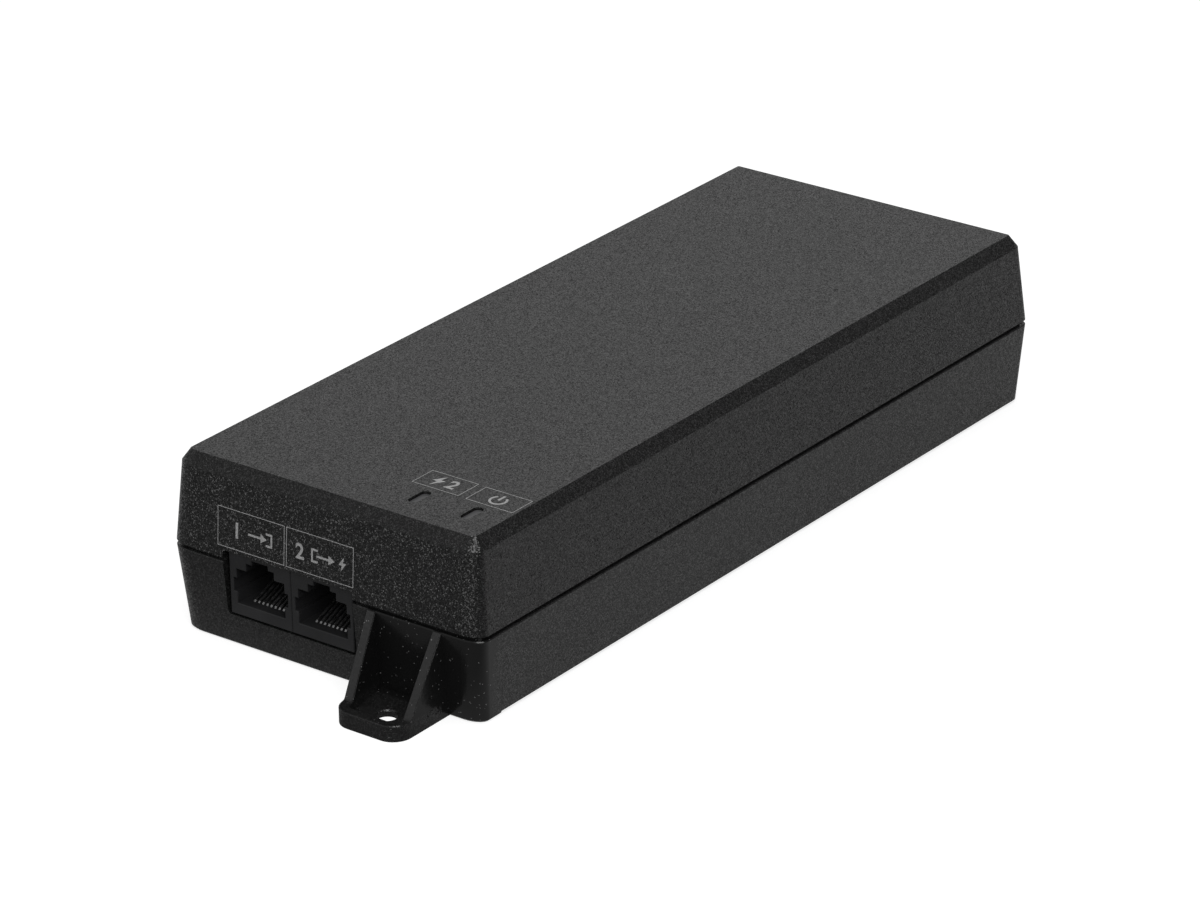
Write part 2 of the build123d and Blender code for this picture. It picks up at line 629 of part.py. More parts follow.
def ring_windings(radius, bore_radius, thickness):
    """Two windings on a ring core, left and right, bare at the top and bottom."""
    wound = Cylinder(radius + WIRE, thickness + 2 * WIRE)
    wound -= Cylinder(bore_radius - WIRE, thickness + 2 * WIRE)
    wound -= Cylinder(radius, thickness) - Cylinder(bore_radius, thickness)
    reach = 2 * radius
    half_gap = reach * tan(radians(WINDING_GAP_ANGLE / 2))
    gap = Polygon((0, 0), (half_gap, reach), (-half_gap, reach), align=None)
    bare = extrude(gap, thickness, both=True)
    wound -= [bare, Rot(0, 0, 180) * bare]
    return Pos(0, 0, ring_centre(radius)) * Rot(90, 0, 0) * wound


def chip(sizes, leg_count):
    """Moulded package with a row of flat legs along each long side."""
    width, length, height = sizes
    body = Pos(0, 0, CHIP_FOOT_THICKNESS / 2) * moulded_box((width, length, height))
    leg = grounded((width + 2 * CHIP_FOOT, CHIP_FOOT_WIDTH, CHIP_FOOT_THICKNESS))
    pitch = length / leg_count
    first = -pitch * (leg_count - 1) / 2
    return body + [Pos(0, first + i * pitch, 0) * leg for i in range(leg_count)]


def make_bridge_rectifier():
    """Flat rectifier package that stands on four legs."""
    body = Pos(0, 0, LEG_LENGTH) * moulded_box(BRIDGE)
    leg = grounded((LEG_WIDTH, LEG_THICKNESS, LEG_LENGTH + LEG_WIDTH))
    first = -BRIDGE_LEG_PITCH * (BRIDGE_LEG_COUNT - 1) / 2
    return body + [Pos(first + i * BRIDGE_LEG_PITCH, 0, 0) * leg for i in range(BRIDGE_LEG_COUNT)]


def make_heatsink(length):
    """Upright aluminium plate with fins along the face turned to the case wall."""
    plate = grounded((SINK_THICKNESS, length, SINK_HEIGHT))
    fin = grounded((SINK_FIN_DEPTH, SINK_THICKNESS, SINK_HEIGHT))
    fin_x = (SINK_THICKNESS + SINK_FIN_DEPTH) / 2
    pitch = (length - SINK_THICKNESS) / (SINK_FIN_COUNT - 1)
    first = -pitch * (SINK_FIN_COUNT - 1) / 2
    return plate + [Pos(fin_x, first + i * pitch, 0) * fin for i in range(SINK_FIN_COUNT)]


def make_power_transistor():
    """Tab package on three legs, its tab flat against the inner face of a heatsink."""
    tab_x = -(SINK_THICKNESS + TAB[0]) / 2
    package_x = -(SINK_THICKNESS + PACKAGE[0]) / 2
    body = Pos(tab_x, 0, LEG_LENGTH) * grounded(TAB) + Pos(package_x, 0, LEG_LENGTH) * grounded(PACKAGE)
    leg = grounded((LEG_THICKNESS, LEG_WIDTH, LEG_LENGTH))
    body += [Pos(package_x, side * LEG_PITCH, 0) * leg for side in (-1, 0, 1)]
    hole_z = LEG_LENGTH + TAB[2] - TAB_HOLE_DROP
    return body - Pos(tab_x, 0, hole_z) * Rot(0, 90, 0) * Cylinder(TAB_HOLE_RADIUS, 2 * TAB[0])


def window_height():
    """Clear height between the two yokes of the transformer core."""
    return CORE[2] - 2 * CORE_YOKE


def make_transformer_core():
    """Ferrite core: two yokes joined by a round middle post and two side walls."""
    window = Cylinder(CORE[0] / 2 - CORE_SIDE_THICKNESS, window_height())
    window -= Cylinder(CORE_POST_RADIUS, window_height())
    return grounded(CORE) - Pos(0, 0, CORE[2] / 2) * window


def make_transformer_bobbin():
    """Spool round the middle post, with a rail down to the board at each side."""
    spool = Cylinder(CORE_POST_RADIUS + BOBBIN_WALL, window_height())
    flange = Cylinder(BOBBIN_FLANGE_RADIUS, BOBBIN_WALL)
    flange_z = (window_height() - BOBBIN_WALL) / 2
    spool += [Pos(0, 0, side * flange_z) * flange for side in (-1, 1)]
    spool -= Cylinder(CORE_POST_RADIUS, window_height())
    rail = grounded((BOBBIN_RAIL[0], BOBBIN_RAIL[1], CORE_YOKE + BOBBIN_WALL))
    rail_y = (CORE[1] + BOBBIN_RAIL[1]) / 2 + BOBBIN_RAIL_GAP
    rails = [Pos(0, side * rail_y, 0) * rail for side in (-1, 1)]
    return Pos(0, 0, CORE[2] / 2) * spool + rails


def make_transformer_winding():
    """Taped winding that fills the spool between its flanges."""
    height = window_height() - 2 * BOBBIN_WALL
    winding = Cylinder(WINDING_RADIUS, height) - Cylinder(CORE_POST_RADIUS + BOBBIN_WALL, height)
    return Pos(0, 0, CORE[2] / 2) * winding


def make_safety_capacitors():
    """Two coated disc capacitors between the mains lines and earth."""
    disc = standing_disc(SAFETY_DISC_RADIUS, SAFETY_DISC_THICKNESS)
    return Compound(children=[at_side(spot, disc) for spot in SAFETY_DISC_SPOTS])


def make_output_capacitors():
    """Row of three capacitor cans across the output."""
    can = capacitor_can(OUTPUT_CAPACITOR_RADIUS, OUTPUT_CAPACITOR_HEIGHT)
    first = -OUTPUT_CAPACITOR_PITCH * (OUTPUT_CAPACITOR_COUNT - 1) / 2
    row = [Pos(first + i * OUTPUT_CAPACITOR_PITCH, 0, 0) * can for i in range(OUTPUT_CAPACITOR_COUNT)]
    return Compound(children=[at_middle(OUTPUT_CAPACITOR_MIDDLE_SPOT, can) for can in row])


def save(node, shape):
    """Write one node of the assembly."""
    export_step(shape, f"parts/{node}.step")


os.makedirs("parts", exist_ok=True)
inlet_blades = make_inlet_blades()
fuse = capacitor_can(FUSE_RADIUS, FUSE_HEIGHT)
varistor = standing_disc(VARISTOR_RADIUS, VARISTOR_THICKNESS)
thermistor = standing_disc(THERMISTOR_RADIUS, THERMISTOR_THICKNESS)
choke = (CHOKE_RADIUS, CHOKE_BORE_RADIUS, CHOKE_THICKNESS)
inductor = (INDUCTOR_RADIUS, INDUCTOR_BORE_RADIUS, INDUCTOR_THICKNESS)
magnetics_spot = ((DATA_JACK_X + POWER_JACK_X) / 2, -MAGNETICS_INSET)
turned = Rot(0, 0, 180)
secondary_heatsink = turned * make_heatsink(SECONDARY_SINK_LENGTH)
output_rectifier = turned * make_power_transistor()
NODES = {
    "lower_shell": make_lower_shell(),
    "upper_shell": make_upper_shell(),
    "main_board": make_main_board(),
    "insulating_sheet": make_insulating_sheet(),
    "case_screws": make_case_screws(),
    "data_jack_housing": make_jack_housing(DATA_JACK_X),
    "data_jack_contacts": make_jack_contacts(DATA_JACK_X),
    "power_jack_housing": make_jack_housing(POWER_JACK_X),
    "power_jack_contacts": make_jack_contacts(POWER_JACK_X),
    "poe_light_pipe": make_light_pipe(POE_PIPE_X),
    "power_light_pipe": make_light_pipe(POWER_PIPE_X),
    "poe_led": make_led(POE_PIPE_X),
    "power_led": make_led(POWER_PIPE_X),
    "inlet_blades": inlet_blades,
    "inlet_housing": make_inlet_housing(inlet_blades),
    "fuse": at_side(FUSE_SPOT, fuse),
    "varistor": at_side(VARISTOR_SPOT, varistor),
    "thermistor": at_side(THERMISTOR_SPOT, thermistor),
    "suppression_capacitor": at_side(FILM_CAPACITOR_SPOT, moulded_box(FILM_CAPACITOR)),
    "safety_capacitors": make_safety_capacitors(),
    "choke_core": at_middle(CHOKE_MIDDLE_SPOT, ring_core(*choke)),
    "choke_windings": at_middle(CHOKE_MIDDLE_SPOT, ring_windings(*choke)),
    "bridge_rectifier": at_side(BRIDGE_SPOT, make_bridge_rectifier()),
    "bulk_capacitor": at_side(BULK_SPOT, capacitor_can(BULK_RADIUS, BULK_HEIGHT)),
    "primary_heatsink": at_side(PRIMARY_SINK_SPOT, make_heatsink(PRIMARY_SINK_LENGTH)),
    "primary_switch": at_side(PRIMARY_SINK_SPOT, make_power_transistor()),
    "primary_controller": at_side(CONTROLLER_SPOT, chip(CONTROLLER, 4)),
    "optocoupler": at_side(COUPLER_SPOT, chip(COUPLER, 2)),
    "transformer_core": at_middle(TRANSFORMER_MIDDLE_SPOT, make_transformer_core()),
    "transformer_bobbin": at_middle(TRANSFORMER_MIDDLE_SPOT, make_transformer_bobbin()),
    "transformer_winding": at_middle(TRANSFORMER_MIDDLE_SPOT, make_transformer_winding()),
    "secondary_heatsink": at_side(SECONDARY_SINK_SPOT, secondary_heatsink),
    "output_rectifier": at_side(SECONDARY_SINK_SPOT, output_rectifier),
    "output_capacitors": make_output_capacitors(),
    "inductor_core": at_side(INDUCTOR_SPOT, ring_core(*inductor)),
    "inductor_winding": at_side(INDUCTOR_SPOT, ring_windings(*inductor)),
    "network_magnetics": at_middle(magnetics_spot, chip(MAGNETICS, MAGNETICS_LEG_COUNT)),
    "power_sourcing_chip": at_side(SOURCING_CHIP_SPOT, chip(SOURCING_CHIP, SOURCING_CHIP_LEG_COUNT)),
}
for node, shape in NODES.items():
    save(node, shape)
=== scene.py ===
# %% [markdown]
# # A mains-fed network power injector, dressed in Blender
# The object is a long, flat, black power supply in a two-part moulded case. One end has a screw
# ear, two modular network sockets and two small indicator slots, and the other end has the mains
# inlet and a second ear. The shapes come from a CAD model that is loaded first and never changed
# here. This file gives every piece its finish, adds the printed marks, which are too thin for CAD,
# and sets up the floor, the light and the camera.

# %% Load the frame
import math

import bpy
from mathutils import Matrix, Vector


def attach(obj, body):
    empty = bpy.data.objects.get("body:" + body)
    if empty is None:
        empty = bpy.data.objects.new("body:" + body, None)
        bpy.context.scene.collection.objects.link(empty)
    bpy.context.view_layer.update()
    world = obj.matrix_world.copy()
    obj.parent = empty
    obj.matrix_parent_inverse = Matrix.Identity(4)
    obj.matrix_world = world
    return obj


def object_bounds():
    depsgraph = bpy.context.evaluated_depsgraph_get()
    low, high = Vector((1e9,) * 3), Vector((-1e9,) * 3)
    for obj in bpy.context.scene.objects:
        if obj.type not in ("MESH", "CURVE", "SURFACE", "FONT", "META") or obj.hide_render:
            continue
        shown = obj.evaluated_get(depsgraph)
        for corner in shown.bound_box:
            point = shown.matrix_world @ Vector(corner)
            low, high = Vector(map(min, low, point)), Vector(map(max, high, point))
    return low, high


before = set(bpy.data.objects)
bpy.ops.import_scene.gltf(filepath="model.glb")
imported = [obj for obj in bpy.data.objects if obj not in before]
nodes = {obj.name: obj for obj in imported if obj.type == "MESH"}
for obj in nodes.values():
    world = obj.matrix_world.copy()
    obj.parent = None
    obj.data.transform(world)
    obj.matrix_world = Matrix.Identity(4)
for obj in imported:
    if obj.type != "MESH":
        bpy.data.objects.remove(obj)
cad_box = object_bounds()
print("nodes:", len(nodes), "box in mm:", [round(1000 * v, 1) for corner in cad_box for v in corner])

# %% [markdown]
# ## Helpers for finishes
# Every finish here is a node tree that ends in one Principled BSDF. A moulded or coated surface is
# never one flat value: its colour drifts a little, its gloss changes from place to place, and its
# height has a fine grain. The helpers below build those layers from Object coordinates, which are
# metres on this model, so that a grain size is written as a real length.

# %% Start a finish
MM = 0.001


def grey(level):
    """Neutral colour."""
    return (level, level, level)


def start_finish(name, colour, roughness, metallic=0.0):
    """Material with its node tree and Principled BSDF, and a coordinate output in metres."""
    material = bpy.data.materials.new(name)
    material.use_nodes = True
    tree = material.node_tree
    shader = tree.nodes["Principled BSDF"]
    shader.inputs["Base Color"].default_value = (*colour, 1.0)
    shader.inputs["Roughness"].default_value = roughness
    shader.inputs["Metallic"].default_value = metallic
    coordinates = tree.nodes.new("ShaderNodeTexCoord")
    return material, tree, shader, coordinates.outputs["Object"]


# %% Noise of a real grain size
def grain(tree, place, size, detail=2.0, roughness=0.5):
    """Noise whose blobs are about size metres across, from 0 to 1."""
    noise = tree.nodes.new("ShaderNodeTexNoise")
    noise.inputs["Scale"].default_value = 1.0 / size
    noise.inputs["Detail"].default_value = detail
    noise.inputs["Roughness"].default_value = roughness
    tree.links.new(place, noise.inputs["Vector"])
    return noise.outputs["Fac"]


def remap(tree, value, low, high, to_low, to_high):
    """A value squeezed from one range into another, clamped."""
    node = tree.nodes.new("ShaderNodeMapRange")
    node.inputs["From Min"].default_value = low
    node.inputs["From Max"].default_value = high
    node.inputs["To Min"].default_value = to_low
    node.inputs["To Max"].default_value = to_high
    tree.links.new(value, node.inputs["Value"])
    return node.outputs["Result"]


# %% Colour that drifts and height that roughens
def drift_colour(tree, shader, value, dark, light):
    """Base colour that runs from dark to light with a value from 0 to 1."""
    mix = tree.nodes.new("ShaderNodeMix")
    mix.data_type = "RGBA"
    mix.inputs["A"].default_value = (*dark, 1.0)
    mix.inputs["B"].default_value = (*light, 1.0)
    tree.links.new(value, mix.inputs["Factor"])
    tree.links.new(mix.outputs["Result"], shader.inputs["Base Color"])
    return mix.outputs["Result"]


def raise_height(tree, shader, height, strength, depth):
    """Bump of a given depth in metres; a second call lies on top of the first."""
    bump = tree.nodes.new("ShaderNodeBump")
    bump.inputs["Strength"].default_value = strength
    bump.inputs["Distance"].default_value = depth
    tree.links.new(height, bump.inputs["Height"])
    below = shader.inputs["Normal"].links
    if below:
        tree.links.new(below[0].from_socket, bump.inputs["Normal"])
    tree.links.new(bump.outputs["Normal"], shader.inputs["Normal"])


def dress(material, *names):
    """Give CAD nodes a finish in place of their plain one."""
    for name in names:
        mesh = nodes[name].data
        mesh.materials.clear()
        mesh.materials.append(material)
    print(material.name, "->", ", ".join(names))


# %% [markdown]
# ## Case: black ABS with a spark texture
# The case is matte black ABS. Its moulds were eroded by sparks, which leaves facets and pits a fifth
# of a millimetre across, each leaning its own way. So the plastic is dark, but it glitters where
# some of the facets mirror a light, and it looks calm where all of them mirror the same thing. Soft
# noise as height would look like leather. Cells with one random lean each give the crisp glitter.
# Paler cells in the colour are partly the grain's own tone and partly painted glints.
# The screw ears were cut into the mould later and polished, along with the corners beside them, so
# only an ear's rim has the texture, and pale specks show on the rest: a little dust, and painted glints.

# %% Cells of random colour
def cell_pattern(tree, place, size):
    """Cells about size metres across: a colour socket, and its red, green and blue."""
    cells = tree.nodes.new("ShaderNodeTexVoronoi")
    cells.inputs["Scale"].default_value = 1.0 / size
    tree.links.new(place, cells.inputs["Vector"])
    split = tree.nodes.new("ShaderNodeSeparateColor")
    tree.links.new(cells.outputs["Color"], split.inputs["Color"])
    return cells.outputs["Color"], split.outputs


def feed(tree, socket, value):
    """Set an input to a number, or link it to an output."""
    if isinstance(value, (int, float)):
        socket.default_value = value
    else:
        tree.links.new(value, socket)


def maths(tree, operation, first, second=0.0):
    """Arithmetic on two values or sockets."""
    node = tree.nodes.new("ShaderNodeMath")
    node.operation = operation
    feed(tree, node.inputs[0], first)
    feed(tree, node.inputs[1], second)
    return node.outputs["Value"]


# %% Facets that lean
FACET = 0.21 * MM


def facet_normals(tree, shader, place, tilt):
    """Small flat facets, each leaning its own way by up to half of tilt, as sparks leave them."""
    colour, _ = cell_pattern(tree, place, FACET)
    lean = tree.nodes.new("ShaderNodeVectorMath")
    lean.operation = "SUBTRACT"
    lean.inputs[1].default_value = (0.5, 0.5, 0.5)
    tree.links.new(colour, lean.inputs[0])
    steep = tree.nodes.new("ShaderNodeVectorMath")
    steep.operation = "SCALE"
    tree.links.new(lean.outputs["Vector"], steep.inputs[0])
    feed(tree, steep.inputs["Scale"], tilt)
    surface = tree.nodes.new("ShaderNodeNewGeometry")
    leaning = tree.nodes.new("ShaderNodeVectorMath")
    tree.links.new(steep.outputs["Vector"], leaning.inputs[0])
    tree.links.new(surface.outputs["Normal"], leaning.inputs[1])
    unit = tree.nodes.new("ShaderNodeVectorMath")
    unit.operation = "NORMALIZE"
    tree.links.new(leaning.outputs["Vector"], unit.inputs[0])
    tree.links.new(unit.outputs["Vector"], shader.inputs["Normal"])


# %% Where the mould was polished
# The side of an ear that is nearer the middle, the end wall at its root, the top of its rim, how
# far along the case the polish reaches, and how softly it ends.
EAR_SIDE = 10.9 * MM
EAR_ROOT = 93.3 * MM
EAR_RIM = 3.0 * MM
CORNER_REACH = 88.0 * MM
BLEND = 0.6 * MM


def texture_left(tree, place):
    """0 on an ear's ribs and pocket and on the corner beside it, 1 on its rim and everywhere else."""
    split = tree.nodes.new("ShaderNodeSeparateXYZ")
    tree.links.new(place, split.inputs["Vector"])
    along = maths(tree, "ABSOLUTE", split.outputs["Y"])
    end = maths(tree, "SIGN", split.outputs["Y"])
    across = maths(tree, "MULTIPLY", maths(tree, "MULTIPLY", end, -1.0), split.outputs["X"])
    beside = remap(tree, across, EAR_SIDE - BLEND, EAR_SIDE, 0, 1)
    near_end = remap(tree, along, CORNER_REACH - 2 * BLEND, CORNER_REACH + 2 * BLEND, 0, 1)
    polished = maths(tree, "MULTIPLY", beside, near_end)
    outside = remap(tree, along, EAR_ROOT, EAR_ROOT + BLEND, 0, 1)
    low = remap(tree, split.outputs["Z"], EAR_RIM, EAR_RIM + BLEND, 1, 0)
    off_rim = maths(tree, "SUBTRACT", 1.0, maths(tree, "MULTIPLY", outside, low))
    return maths(tree, "SUBTRACT", 1.0, maths(tree, "MULTIPLY", polished, off_rim))


# %% Dust and painted glints on the polished places
SPECK = 0.22 * MM
SPECK_FROM = (0.992, 0.994)
DUST_AND_GLINT_GREY = 0.13


def dust_and_glints_over(tree, shader, place, plastic, amount):
    """Lay sparse pale specks over a colour, where amount is 1."""
    _, speck_cells = cell_pattern(tree, place, SPECK)
    # The specks are partly dust and partly painted glints, in place of the facets' own glitter.
    specks = remap(tree, speck_cells["Red"], *SPECK_FROM, 0, 1)
    mix = tree.nodes.new("ShaderNodeMix")
    mix.data_type = "RGBA"
    mix.inputs["B"].default_value = (*grey(DUST_AND_GLINT_GREY), 1.0)
    tree.links.new(maths(tree, "MULTIPLY", specks, amount), mix.inputs["Factor"])
    tree.links.new(plastic, mix.inputs["A"])
    tree.links.new(mix.outputs["Result"], shader.inputs["Base Color"])


# %% Case finish
CASE_GREY = 0.012
PIT = 0.2 * MM
PALE_PIT_AND_GLINT_FROM = 0.6
LEAST_PALE_PIT_AND_GLINT = 0.05
PIT_ROUGHNESS = (0.15, 0.24)
SMOOTH_TILT = 0.03


def case_finish(name, tilt, dark_pit, pale_pit_and_glint, polished):
    """Black plastic with leaning facets and pale cells that are partly painted glints; where it is polished,
    pale specks of dust and painted glints.
    """
    material, tree, shader, place = start_finish(name, grey(CASE_GREY), PIT_ROUGHNESS[1])
    left = texture_left(tree, place) if polished else 1.0
    facet_normals(tree, shader, place, remap(tree, left, 0, 1, SMOOTH_TILT, tilt) if polished else tilt)
    _, pit = cell_pattern(tree, place, PIT)
    # Paler cells: partly the grain's own tone, partly painted glints added to the facets' glitter.
    pit_and_glint_share = remap(tree, pit["Red"], PALE_PIT_AND_GLINT_FROM, 1.0, LEAST_PALE_PIT_AND_GLINT, 1)
    light = maths(tree, "MULTIPLY", pit_and_glint_share, left)
    plastic = drift_colour(tree, shader, light, grey(dark_pit), grey(pale_pit_and_glint))
    if polished:
        dust_and_glints_over(tree, shader, place, plastic, remap(tree, left, 0, 1, 1, 0))
    roughness = remap(tree, pit["Green"], 0.0, 1.0, *PIT_ROUGHNESS)
    tree.links.new(roughness, shader.inputs["Roughness"])
    return material


dress(
    case_finish("upper_case_plastic", tilt=0.52, dark_pit=0.004, pale_pit_and_glint=0.034, polished=False),
    "upper_shell",
)
# The lower shell is the same plastic with other cell colours: its pale cells are darker, a painted shade on
# the lower walls, and its darkest cells a little lighter.
dress(
    case_finish("lower_case_plastic", tilt=0.45, dark_pit=0.0075, pale_pit_and_glint=0.028, polished=True),
    "lower_shell",
)

# %% [markdown]
# ## Jacks, inlet and light pipes
# The jack and inlet bodies are smooth satin mouldings of another plastic, so they look calmer than
# the case. The light pipes are smoked, so that an unlit one is almost as dark as the case. A cloudy
# drift of colour and gloss and faint ripples, as the plastic flowed, are enough for all of them.

# %% Smooth moulded plastics
CLOUD = 6 * MM
NOISE_SPAN = (0.3, 0.7)     # most values of a noise lie between these
COLOUR_DRIFT = 0.15
GLOSS_DRIFT = 0.08
FLOW_RIPPLE = 1.5 * MM
FINE_GRAIN = 0.12 * MM
FAINT = 0.01 * MM


def smooth_finish(name, colour, roughness, ripple=0.02):
    """Smooth moulding: slow drift of colour and gloss, ripples of a depth in mm, and fine grain."""
    material, tree, shader, place = start_finish(name, colour, roughness)
    cloud = grain(tree, place, CLOUD, detail=3.0)
    dark = [(1 - COLOUR_DRIFT) * c for c in colour]
    light = [min((1 + COLOUR_DRIFT) * c, 1.0) for c in colour]
    drift_colour(tree, shader, remap(tree, cloud, *NOISE_SPAN, 0, 1), dark, light)
    ends = ((1 - GLOSS_DRIFT) * roughness, (1 + GLOSS_DRIFT) * roughness)
    tree.links.new(remap(tree, cloud, *NOISE_SPAN, *ends), shader.inputs["Roughness"])
    raise_height(tree, shader, grain(tree, place, FLOW_RIPPLE), strength=0.2, depth=ripple * MM)
    raise_height(tree, shader, grain(tree, place, FINE_GRAIN, detail=1.0), strength=0.15, depth=FAINT)
    return material


dress(smooth_finish("jack_plastic", (0.016, 0.016, 0.017), 0.4), "data_jack_housing", "power_jack_housing")
dress(smooth_finish("inlet_plastic", (0.014, 0.014, 0.015), 0.42), "inlet_housing")
dress(smooth_finish("pipe_plastic", (0.06, 0.06, 0.062), 0.3), "poe_light_pipe", "power_light_pipe")


# %% [markdown]
# ## Metals
# The socket springs and the inlet blades are plated bright, the screws zinc plated and the
# heatsinks are extruded aluminium. A metal is mostly reflection, so its detail is in the roughness:
# fine drawn lines along the part, which a stretched noise gives.

# %% Plated and drawn metals
DRAWN_LINE = 0.3 * MM
LINE_GLOSS = (0.7, 1.4)     # shares of the finish's roughness
LINE_SPAN = (0.2, 0.8)


def metal_finish(name, colour, roughness, stretch=(1, 1, 1)):
    """Metal with fine lines, drawn out along the axis whose stretch is small."""
    material, tree, shader, place = start_finish(name, colour, roughness, metallic=1.0)
    mapping = tree.nodes.new("ShaderNodeMapping")
    mapping.inputs["Scale"].default_value = stretch
    tree.links.new(place, mapping.inputs["Vector"])
    lines = grain(tree, mapping.outputs["Vector"], DRAWN_LINE, detail=3.0, roughness=0.6)
    ends = [share * roughness for share in LINE_GLOSS]
    tree.links.new(remap(tree, lines, *NOISE_SPAN, *ends), shader.inputs["Roughness"])
    dark = [(1 - COLOUR_DRIFT) * c for c in colour]
    drift_colour(tree, shader, remap(tree, lines, *LINE_SPAN, 0, 1), dark, colour)
    raise_height(tree, shader, lines, strength=0.2, depth=FAINT)
    return material


dress(
    metal_finish("contact_metal", grey(0.42), 0.35, (1, 0.1, 1)),
    "data_jack_contacts", "power_jack_contacts",
)
dress(metal_finish("blade_metal", (0.75, 0.73, 0.69), 0.25, (1, 0.05, 1)), "inlet_blades")
dress(metal_finish("screw_steel", (0.6, 0.6, 0.62), 0.35), "case_screws")
dress(
    metal_finish("sink_aluminium", (0.8, 0.81, 0.82), 0.38, (1, 1, 0.04)),
    "primary_heatsink", "secondary_heatsink",
)

# %% [markdown]
# ## Parts on the circuit board
# They are shut inside the case, but the part can be opened up in a drawing, so each has its own
# finish: green solder resist, moulded epoxy, dipped coatings, shrink sleeves, tape and enamelled wire.

# %% Board and its film
GLASS_WEAVE = 1.2 * MM


def board_finish():
    """Green solder resist, with the weave of the laminate showing faintly through it."""
    material, tree, shader, place = start_finish("board_laminate", (0.03, 0.16, 0.06), 0.35)
    weave = tree.nodes.new("ShaderNodeTexBrick")
    weave.inputs["Scale"].default_value = 1.0 / GLASS_WEAVE
    weave.inputs["Color1"].default_value = (0.025, 0.15, 0.055, 1)
    weave.inputs["Color2"].default_value = (0.03, 0.17, 0.065, 1)
    weave.inputs["Mortar"].default_value = (0.02, 0.12, 0.045, 1)
    tree.links.new(place, weave.inputs["Vector"])
    tree.links.new(weave.outputs["Color"], shader.inputs["Base Color"])
    raise_height(tree, shader, weave.outputs["Fac"], strength=0.1, depth=0.02 * MM)
    return material


dress(board_finish(), "main_board")
dress(smooth_finish("insulating_film", (0.6, 0.5, 0.28), 0.3), "insulating_sheet")
dress(smooth_finish("led_body", (0.8, 0.8, 0.76), 0.35), "poe_led", "power_led")

# %% Moulded, dipped and sleeved components
dress(
    smooth_finish("package_epoxy", grey(0.02), 0.55, ripple=0.05),
    "bridge_rectifier", "primary_switch", "primary_controller", "optocoupler",
    "output_rectifier", "network_magnetics", "power_sourcing_chip",
)
dress(smooth_finish("fuse_case", (0.06, 0.035, 0.025), 0.45), "fuse")
dress(smooth_finish("disc_coating", (0.05, 0.16, 0.45), 0.25, ripple=0.15), "varistor", "safety_capacitors")
dress(smooth_finish("thermistor_coating", (0.05, 0.055, 0.05), 0.4, ripple=0.15), "thermistor")
dress(smooth_finish("film_capacitor_case", (0.7, 0.52, 0.06), 0.3), "suppression_capacitor")
dress(smooth_finish("capacitor_sleeve", (0.02, 0.025, 0.06), 0.25), "bulk_capacitor", "output_capacitors")
dress(
    smooth_finish("ferrite", (0.035, 0.035, 0.038), 0.6, ripple=0.1),
    "transformer_core", "choke_core", "inductor_core",
)
dress(smooth_finish("bobbin_plastic", grey(0.03), 0.4), "transformer_bobbin")
dress(smooth_finish("winding_tape", (0.75, 0.55, 0.06), 0.28), "transformer_winding")

# %% Enamelled wire
WIRE_WAVE = 3.2 * MM     # unit of the wave texture, which makes a ridge in about each millimetre


def wire_finish():
    """Turns of enamelled copper, as ridges across the winding."""
    material, tree, shader, place = start_finish("copper_wire", (0.55, 0.2, 0.07), 0.3, metallic=1.0)
    turns = tree.nodes.new("ShaderNodeTexWave")
    turns.inputs["Scale"].default_value = 1.0 / WIRE_WAVE
    turns.bands_direction = "Z"
    tree.links.new(place, turns.inputs["Vector"])
    drift_colour(tree, shader, turns.outputs["Fac"], (0.3, 0.1, 0.035), (0.6, 0.24, 0.09))
    raise_height(tree, shader, turns.outputs["Fac"], strength=0.6, depth=0.2 * MM)
    return material


dress(wire_finish(), "choke_windings", "inductor_winding")

# %% [markdown]
# ## Printed marks
# Each socket and each indicator has a thin printed outline with a plain sign in it. The ink is pad
# printed: a light grey film a few hundredths of a millimetre thick. It could be painted into the
# case's material, but a film of real geometry has crisp edges in any view and in any export.
# A mark is drawn flat, as polygons in millimetres along and up its face. Then every point is laid
# on that face and once more a little above it, and a rim joins the two along the outline.

# %% Ink
INK_WEAR = 0.25 * MM
WEAR_SPAN = (0.35, 0.65)
INK_THICKNESS = 0.02 * MM


def ink_finish():
    """Light grey ink that thins out over the pits of the texture below."""
    material, tree, shader, place = start_finish("print_ink", grey(0.3), 0.6)
    wear = grain(tree, place, INK_WEAR)
    drift_colour(tree, shader, remap(tree, wear, *WEAR_SPAN, 0, 1), grey(0.24), grey(0.42))
    raise_height(tree, shader, wear, strength=0.3, depth=INK_THICKNESS)
    return material


print_ink = ink_finish()


# %% Film of ink
def anticlockwise(polygon):
    """The polygon's points in anticlockwise order."""
    following = polygon[1:] + polygon[:1]
    double_area = sum(u * y - x * v for (u, v), (x, y) in zip(polygon, following))
    return polygon if double_area > 0 else polygon[::-1]


def film(polygons):
    """Flat points, and the faces of a thin solid: one set of points below and one above."""
    spots = {}
    rings = [[spots.setdefault(spot, len(spots)) for spot in anticlockwise(p)] for p in polygons]
    sides = {side for ring in rings for side in zip(ring, ring[1:] + ring[:1])}
    above = len(spots)
    faces = [ring[::-1] for ring in rings] + [[i + above for i in ring] for ring in rings]
    faces += [(i, j, j + above, i + above) for i, j in sorted(sides) if (j, i) not in sides]
    return list(spots), faces


def lay_ink(name, polygons, place, normal):
    """Film of ink from flat polygons, thick enough to be a closed solid."""
    spots, faces = film(polygons)
    below = [place(u, v) for u, v in spots]
    above = [point + normal * INK_THICKNESS for point in below]
    mesh = bpy.data.meshes.new(name)
    mesh.from_pydata(below + above, [], faces)
    mesh.materials.append(print_ink)
    mark = bpy.data.objects.new(name, mesh)
    bpy.context.scene.collection.objects.link(mark)
    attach(mark, "root")
    print(name, len(mesh.polygons), "faces")


